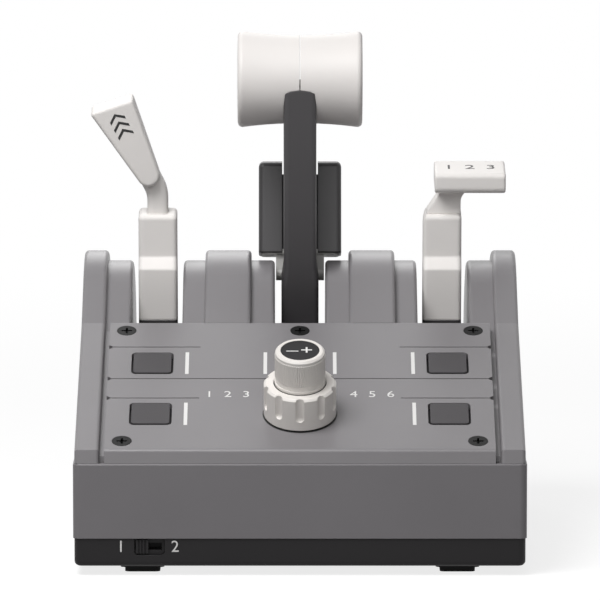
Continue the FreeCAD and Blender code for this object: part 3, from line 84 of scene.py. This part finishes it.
# ---- the panel's slope, from the selector's axis ----
selector = Vector(joints["outer_selector_turn"]["pos_m"])
normal = Vector(joints["outer_selector_turn"]["axis"]).normalized()
uphill = Vector((0, normal.z, -normal.y))
selector_up_panel = 27.8 * MM       # from the panel's front edge


def make_camera():
    front = cad_box[0].y
    up = Vector((0, math.sin(elevation), math.cos(elevation)))
    ahead = Vector((0, math.cos(elevation), -math.sin(elevation)))
    data = bpy.data.cameras.new("view")
    camera = bpy.data.objects.new("view", data)
    bpy.context.scene.collection.objects.link(camera)
    camera.location = Vector((0, front, 0)) + up * aim_height - ahead * camera_distance
    camera.rotation_mode = "QUATERNION"
    camera.rotation_quaternion = ahead.to_track_quat("-Z", "Y")
    data.sensor_width = sensor_width
    data.lens = data.sensor_width / (view_width / camera_distance)
    data.clip_start = 0.1
    data.clip_end = 60.0
    bpy.context.scene.camera = camera


def area_light(name, place, aim, size, power):
    data = bpy.data.lights.new(name, "AREA")
    data.shape = "DISK"
    data.size = size
    data.energy = power
    lamp = bpy.data.objects.new(name, data)
    bpy.context.scene.collection.objects.link(lamp)
    lamp.location = place
    direction = Vector(aim) - Vector(place)
    lamp.rotation_mode = "QUATERNION"
    lamp.rotation_quaternion = direction.to_track_quat("-Z", "Y")


# ---- shader nodes ----
def add_node(tree, kind, values=None):
    """New shader node with some of its sockets set."""
    node = tree.nodes.new("ShaderNode" + kind)
    for socket, value in (values or {}).items():
        node.inputs[socket].default_value = value
    return node


def mixed(tree, share, first, second):
    """The first shader where the share is 0 and the second where it is 1."""
    mix = add_node(tree, "MixShader")
    tree.links.new(share, mix.inputs[0])
    tree.links.new(first.outputs[0], mix.inputs[1])
    tree.links.new(second.outputs[0], mix.inputs[2])
    return mix


def seen_directly(tree):
    """1 for rays that show the surroundings themselves: camera, glossy and transmission."""
    path = add_node(tree, "LightPath")
    add = add_node(tree, "Math")
    add.operation = "ADD"
    tree.links.new(path.outputs["Is Camera Ray"], add.inputs[0])
    tree.links.new(path.outputs["Is Glossy Ray"], add.inputs[1])
    total = add_node(tree, "Math")
    total.operation = "ADD"
    total.use_clamp = True
    tree.links.new(add.outputs[0], total.inputs[0])
    tree.links.new(path.outputs["Is Transmission Ray"], total.inputs[1])
    return total.outputs[0]


def make_world():
    world = bpy.data.worlds.new("studio")
    bpy.context.scene.world = world
    world.use_nodes = True
    tree = world.node_tree
    tree.nodes.clear()
    soft = add_node(tree, "Background", {"Color": (1, 1, 1, 1), "Strength": surroundings_light})
    white = add_node(tree, "Background", {"Color": (1, 1, 1, 1), "Strength": surroundings_seen})
    mix = mixed(tree, seen_directly(tree), soft, white)
    output = add_node(tree, "OutputWorld")
    tree.links.new(mix.outputs[0], output.inputs["Surface"])


def make_floor():
    """Pale floor that keeps the shadow near the part and fades to plain white further out."""
    mesh = bpy.data.meshes.new("floor")
    corners = [(-floor_half, -floor_half, 0), (floor_half, -floor_half, 0),
               (floor_half, floor_half, 0), (-floor_half, floor_half, 0)]
    mesh.from_pydata(corners, [], [(0, 1, 2, 3)])
    floor = bpy.data.objects.new("floor", mesh)
    bpy.context.scene.collection.objects.link(floor)
    material = bpy.data.materials.new("floor_white")
    material.use_nodes = True
    tree = material.node_tree
    tree.nodes.clear()
    matt = add_node(tree, "BsdfDiffuse", {"Color": (floor_matt, floor_matt, floor_matt, 1)})
    lift = add_node(tree, "Emission", {"Strength": floor_lift})
    lifted = add_node(tree, "AddShader")
    tree.links.new(matt.outputs[0], lifted.inputs[0])
    tree.links.new(lift.outputs[0], lifted.inputs[1])
    white = add_node(tree, "Emission", {"Strength": surroundings_seen})
    place = add_node(tree, "TexCoord")
    distance = add_node(tree, "VectorMath")
    distance.operation = "LENGTH"
    tree.links.new(place.outputs["Object"], distance.inputs[0])
    fade = add_node(tree, "MapRange", {"From Min": floor_fade[0], "From Max": floor_fade[1]})
    fade.interpolation_type = "SMOOTHSTEP"
    tree.links.new(distance.outputs["Value"], fade.inputs["Value"])
    shown = mixed(tree, fade.outputs["Result"], lifted, white)
    chosen = mixed(tree, seen_directly(tree), matt, shown)
    output = add_node(tree, "OutputMaterial")
    tree.links.new(chosen.outputs[0], output.inputs["Surface"])
    mesh.materials.append(material)


# ---- materials ----
def moulded(name, colour, roughness, grain=0.00035, depth=0.00001, mottle=0.04, specular=0.5,
            edge=0.00035, metallic=0.0):
    """Moulded or finished surface: fine grain, faint colour drift, softened edges."""
    material = bpy.data.materials.new(name)
    material.use_nodes = True
    tree = material.node_tree
    shader = tree.nodes["Principled BSDF"]
    shader.inputs["Metallic"].default_value = metallic
    shader.inputs["Specular IOR Level"].default_value = specular
    place = add_node(tree, "TexCoord")
    place.name = "place"
    drift = add_node(tree, "TexNoise", {"Scale": 28.0, "Detail": 4.0})
    tree.links.new(place.outputs["Object"], drift.inputs["Vector"])
    ramp = add_node(tree, "ValToRGB")
    low = [channel * (1 - mottle) for channel in colour]
    high = [min(1.0, channel * (1 + mottle)) for channel in colour]
    for stop, position, tone in zip(ramp.color_ramp.elements, (0.3, 0.7), (low, high)):
        stop.position = position
        stop.color = (*tone, 1)
    tree.links.new(drift.outputs["Fac"], ramp.inputs["Fac"])
    tree.links.new(ramp.outputs["Color"], shader.inputs["Base Color"])
    fine = add_node(tree, "TexNoise", {"Scale": 1.0 / grain, "Detail": 2.0})
    fine.name = "fine"
    tree.links.new(place.outputs["Object"], fine.inputs["Vector"])
    rough = add_node(tree, "MapRange", {"To Min": roughness - 0.05, "To Max": roughness + 0.05})
    tree.links.new(fine.outputs["Fac"], rough.inputs["Value"])
    tree.links.new(rough.outputs["Result"], shader.inputs["Roughness"])
    soften = add_node(tree, "Bevel", {"Radius": edge})
    soften.samples = 4
    bump = add_node(tree, "Bump", {"Strength": 0.6, "Distance": depth})
    tree.links.new(fine.outputs["Fac"], bump.inputs["Height"])
    tree.links.new(soften.outputs["Normal"], bump.inputs["Normal"])
    tree.links.new(bump.outputs["Normal"], shader.inputs["Normal"])
    return material


def brushed(name, colour, roughness):
    """Machined metal with fine turning lines along X."""
    material = moulded(name, colour, roughness, depth=0.000002, mottle=0.08, metallic=1.0)
    tree = material.node_tree
    stretch = add_node(tree, "Mapping", {"Scale": (0.05, 1, 1)})
    tree.links.new(tree.nodes["place"].outputs["Object"], stretch.inputs["Vector"])
    tree.links.new(stretch.outputs["Vector"], tree.nodes["fine"].inputs["Vector"])
    return material


def printed(name, colour):
    return moulded(name, colour, 0.55, mottle=0.02, depth=0.000002, edge=0.00002)


mouldings = {               # colour, roughness, and what differs from plain moulding
    "case_grey": ((0.212, 0.203, 0.211), 0.34, dict(depth=0.000012, mottle=0.03)),
    # darker copy of the case grey for the lower shell: painted shade on the low front
    "shell_grey_painted_shade": ((0.18, 0.172, 0.18), 0.44, dict(depth=0.000016, mottle=0.03, specular=0.35)),
    "black_plastic": ((0.016, 0.015, 0.016), 0.5, dict(specular=0.2)),
    "inner_plastic": ((0.05, 0.05, 0.052), 0.6, {}),
    "screw_black": ((0.008, 0.008, 0.008), 0.32, dict(specular=0.15, edge=0.0001)),
    "rubber_black": ((0.02, 0.02, 0.02), 0.8, dict(depth=0.00003, specular=0.3)),
    "board_green": ((0.02, 0.13, 0.06), 0.35, dict(mottle=0.15)),
    "washer_white": ((0.8, 0.8, 0.78), 0.4, {}),
    "felt_brown": ((0.2, 0.16, 0.13), 0.9, dict(grain=0.0006, depth=0.0001, mottle=0.2)),
    "lever_white": ((0.87, 0.84, 0.815), 0.5,
                    dict(depth=0.000004, mottle=0.015, specular=0.35, edge=0.0012)),
    "handle_ivory": ((0.76, 0.73, 0.71), 0.46, dict(depth=0.000006, mottle=0.015, specular=0.35)),
    "arm_dark": ((0.052, 0.049, 0.052), 0.42, dict(depth=0.000008, mottle=0.05)),
    "hub_dark": ((0.045, 0.043, 0.045), 0.5, dict(depth=0.000008, mottle=0.05)),
    "grip_dark": ((0.032, 0.03, 0.032), 0.42, dict(depth=0.00001, mottle=0.06)),
    # its own light grey, raised further to stand in for light the arm's shadow takes: partly painted light
    "fork_grey": ((0.6, 0.59, 0.57), 0.45, {}),
    "knob_ivory": ((0.81, 0.775, 0.74), 0.32, dict(depth=0.000008, mottle=0.02)),
    "button_grey": ((0.06, 0.056, 0.06), 0.48, dict(specular=0.25, depth=0.00001, mottle=0.03)),
}
metals = {                  # colour, roughness
    "brass_insert": ((0.78, 0.57, 0.28), 0.3),
    "plain_steel": ((0.6, 0.6, 0.61), 0.28),
    "magnet_steel": ((0.66, 0.66, 0.68), 0.18),
}
inks = {
    "print_white": (0.78, 0.77, 0.76),
    # the black ink also paints the shade rings in the gaps under the knobs
    "black_print_and_painted_shade": (0.015, 0.015, 0.015),
}


def make_materials():
    made = {name: moulded(name, colour, roughness, **rest)
            for name, (colour, roughness, rest) in mouldings.items()}
    made.update({name: brushed(name, *finish) for name, finish in metals.items()})
    made.update({name: printed(name, colour) for name, colour in inks.items()})
    return made


def dress_nodes(materials):
    """Every CAD node in its slot's material; the lower shell gets a darker copy of the case grey, painted shade on
    the low front faces.
    """
    slots = {part["node"]: part["material_slot"] for part in frame["record"]["subparts"]}
    for name, node in nodes.items():
        material = materials["shell_grey_painted_shade" if name == "lower_shell" else slots[name]]
        if not node.material_slots:
            node.data.materials.append(material)
        for place in node.material_slots:
            place.material = material
        node.data.shade_smooth()


# ---- places ----
def panel_point(x, up, out=0.0):
    """Point on the panel: across, up from its front edge, and out from its face."""
    return selector + Vector((x, 0, 0)) + uphill * (up - selector_up_panel) + normal * out


def around(angle):
    """Direction in the panel's slope, by the angle round the selector's axis."""
    return Vector((1, 0, 0)) * math.cos(angle) + uphill * math.sin(angle)


def knob_height(name):
    """How far a knob reaches out from the panel's face."""
    return max((vertex.co - selector).dot(normal) for vertex in nodes[name].data.vertices)


def widest_face(name, direction):
    """Centre and normal of the node's largest flat area that looks along the direction."""
    areas = {}
    for polygon in nodes[name].data.polygons:
        if polygon.normal.dot(direction) > 0.7:
            key = tuple(round(part, 2) for part in polygon.normal)
            areas.setdefault(key, []).append(polygon)
    flat = max(areas.values(), key=lambda group: sum(polygon.area for polygon in group))
    total = sum(polygon.area for polygon in flat)
    centre = sum((polygon.center * polygon.area for polygon in flat), Vector()) / total
    return centre, flat[0].normal.copy()


def face_place(centre, outward, upward):
    """Function from a flat area's own across, up and out to the frame's coordinates."""
    out = outward.normalized()
    up = (upward - out * upward.dot(out)).normalized()
    across = up.cross(out)
    return lambda a, b, c=0.0: centre + across * a + up * b + out * c


# ---- pieces ----
def new_piece(name, mesh, material, body):
    piece = bpy.data.objects.new(name, mesh)
    bpy.context.scene.collection.objects.link(piece)
    mesh.materials.append(material)
    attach(piece, body)
    return piece


def plate(name, outline, thickness, to_world):
    """Thin raised print: an outline in its own plane, placed by a function."""
    mesh = bpy.data.meshes.new(name)
    low = [to_world(a, b, 0.0) for a, b in outline]
    high = [to_world(a, b, thickness) for a, b in outline]
    count = len(outline)
    faces = [tuple(range(count, 2 * count)), tuple(reversed(range(count)))]
    faces += [(i, (i + 1) % count, count + (i + 1) % count, count + i) for i in range(count)]
    mesh.from_pydata(low + high, [], faces)
    return mesh


def banded(name, points, steps, closed):
    """Mesh of rows of points, each row once round; closed joins the last row to the first."""
    rows = len(points) // steps
    faces = []
    for row in range(rows if closed else rows - 1):
        below = (row + 1) % rows
        for step in range(steps):
            after = (step + 1) % steps
            faces.append((row * steps + step, row * steps + after,
                          below * steps + after, below * steps + step))
    mesh = bpy.data.meshes.new(name)
    mesh.from_pydata(points, [], faces)
    return mesh


def lettering(name, words, height, spacing, place):
    """Plain digits or signs as thin raised print, in the middle of a place."""
    curve = bpy.data.curves.new(name, "FONT")
    curve.body = words
    curve.size = height / font_share
    curve.space_character = spacing
    curve.align_x = "CENTER"
    curve.align_y = "CENTER"
    curve.resolution_u = 4
    curve.extrude = print_thickness / 2
    pattern = bpy.data.objects.new(name, curve)
    bpy.context.scene.collection.objects.link(pattern)
    bpy.context.view_layer.update()
    mesh = bpy.data.meshes.new_from_object(pattern)
    for vertex in mesh.vertices:
        vertex.co = place(vertex.co.x, vertex.co.y, vertex.co.z + print_thickness / 2)
    bpy.data.objects.remove(pattern)
    mesh.materials.clear()
    return mesh


def make_ticks(materials):
    """White printed lines beside the selector and the buttons."""
    half = 1.45 * MM / 2
    reach = 17.3 * MM / 2
    rows = {67.85: (-45.7, -14.05, 14.05, 45.7), 27.8: (-45.7, 45.7)}   # up the panel: across
    for up, places in rows.items():
        for across in places:
            x, y = across * MM, up * MM
            outline = [(x - half, y - reach), (x + half, y - reach),
                       (x + half, y + reach), (x - half, y + reach)]
            mesh = plate("tick", outline, print_thickness, panel_point)
            new_piece("panel_tick", mesh, materials["print_white"], "housing")


def make_panel_numbers(materials):
    """Plain numbers on both sides of the selector, in line with the short grooves."""
    aside = 29.0 * MM
    level = 43.0 * MM
    for side, words in ((-1, "1 2 3"), (1, "4 5 6")):
        place = face_place(panel_point(side * aside, level), normal, uphill)
        mesh = lettering("panel_number", words, digit_height, 1.35, place)
        new_piece("panel_number", mesh, materials["print_white"], "housing")


def make_switch_numbers(materials):
    """1 and 2 beside the slide switch on the base's front."""
    low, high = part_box("switch_slider")
    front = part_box("base_tray")[0].y
    middle = (low.z + high.z) / 2
    for x, words in ((-71.0 * MM, "1"), (-49.5 * MM, "2")):
        place = face_place(Vector((x, front, middle)), Vector((0, -1, 0)), Vector((0, 0, 1)))
        mesh = lettering("switch_number", words, digit_height, 1.0, place)
        new_piece("switch_number", mesh, materials["print_white"], "housing")


def make_cap_sign(materials):
    """Plain minus and plus on the selector's black cap."""
    sign_height = 6.4 * MM
    place = face_place(selector + normal * knob_height("knob_cap"), normal, uphill)
    mesh = lettering("cap_sign", "– +", sign_height, 0.8, place)
    new_piece("cap_sign", mesh, materials["print_white"], "inner_selector")


def make_paddle_marks(materials):
    """Three black chevrons up the speed brake's finger plate."""
    lean = math.radians(26.7)       # of the plate, to the left
    half = 3.4 * MM
    rise = 2.6 * MM
    thick = 1.3 * MM
    pitch = 3.6
    centre, outward = widest_face("speed_brake_handle", Vector((0, -1, 0)))
    place = face_place(centre, outward, Vector((-math.sin(lean), 0, math.cos(lean))))
    for step in (0.5, 1.5, 2.5):
        low = step * pitch * MM
        outline = [(-half, low), (0, low + rise), (half, low), (half, low + thick),
                   (0, low + rise + thick), (-half, low + thick)]
        mesh = plate("chevron", outline, print_thickness, place)
        new_piece("paddle_chevron", mesh, materials["black_print_and_painted_shade"], "speed_brake")


def make_flap_numbers(materials):
    """Plain numbers on the flap handle's top."""
    flap_digit_height = 6.2 * MM
    centre, outward = widest_face("flap_handle", Vector((0, 0, 1)))
    place = face_place(centre, outward, Vector((0, 1, 0)))
    mesh = lettering("flap_number", "1 2 3", flap_digit_height, 1.2, place)
    new_piece("flap_number", mesh, materials["black_print_and_painted_shade"], "flaps")


def ring(name, centre, inner, outer):
    """Flat ring on the panel's slope, with a little thickness."""
    steps = 96
    section = ((inner, 0.0), (inner, print_thickness), (outer, print_thickness), (outer, 0.0))
    points = [centre + around(math.tau * step / steps) * radius + normal * out
              for radius, out in section for step in range(steps)]
    return banded(name, points, steps, closed=True)


def make_painted_shade_rings(materials):
    """Black rings in the gaps under the two knobs: painted shade where the gaps fall dark."""
    panel_inner, panel_outer = 12.0 * MM, 14.95 * MM
    well_inner, well_outer = 7.0 * MM, 10.75 * MM
    well_depth = 0.95 * MM          # below the outer knob's top
    mesh = ring("panel_shade_ring", selector, panel_inner, panel_outer)
    new_piece("panel_shade_ring", mesh, materials["black_print_and_painted_shade"], "housing")
    well = selector + normal * (knob_height("outer_knob") - well_depth)
    mesh = ring("well_shade_ring", well, well_inner, well_outer)
    new_piece("well_shade_ring", mesh, materials["black_print_and_painted_shade"], "outer_selector")


def make_knurl(materials):
    """Fine upright ribs round the inner knob, between its foot lip and its rounded top."""
    ribs = 72
    wave = (0.0, 1.0, 1.0, 1.0)     # one rib: a narrow groove and a flat
    rib_height = 0.28 * MM
    sink = 0.03 * MM                # the grooves' floor lies inside the knob
    upper_part = 6 * MM             # where the knob's own radius is taken
    drops = ((11.6, 0.0), (11.3, 1.0), (2.1, 1.0), (1.8, 0.0))  # below the top: share of the ribs
    steps = ribs * len(wave)
    top = knob_height("inner_knob")
    radius = max((vertex.co - selector - normal * (vertex.co - selector).dot(normal)).length
                 for vertex in nodes["inner_knob"].data.vertices
                 if (vertex.co - selector).dot(normal) > top - upper_part)
    points = []
    for drop, share in drops:
        for step in range(steps):
            reach = radius - sink + rib_height * wave[step % len(wave)] * share
            points.append(selector + normal * (top - drop * MM)
                          + around(math.tau * step / steps) * reach)
    mesh = banded("knurl", points, steps, closed=False)
    new_piece("knob_knurl", mesh, materials["knob_ivory"], "inner_selector")


bpy.context.scene.view_settings.view_transform = "Standard"
make_camera()
make_world()
for settings in lamps:
    area_light(*settings)
make_floor()
materials = make_materials()
dress_nodes(materials)
make_ticks(materials)
make_panel_numbers(materials)
make_switch_numbers(materials)
make_cap_sign(materials)
make_paddle_marks(materials)
make_flap_numbers(materials)
make_knurl(materials)
make_painted_shade_rings(materials)
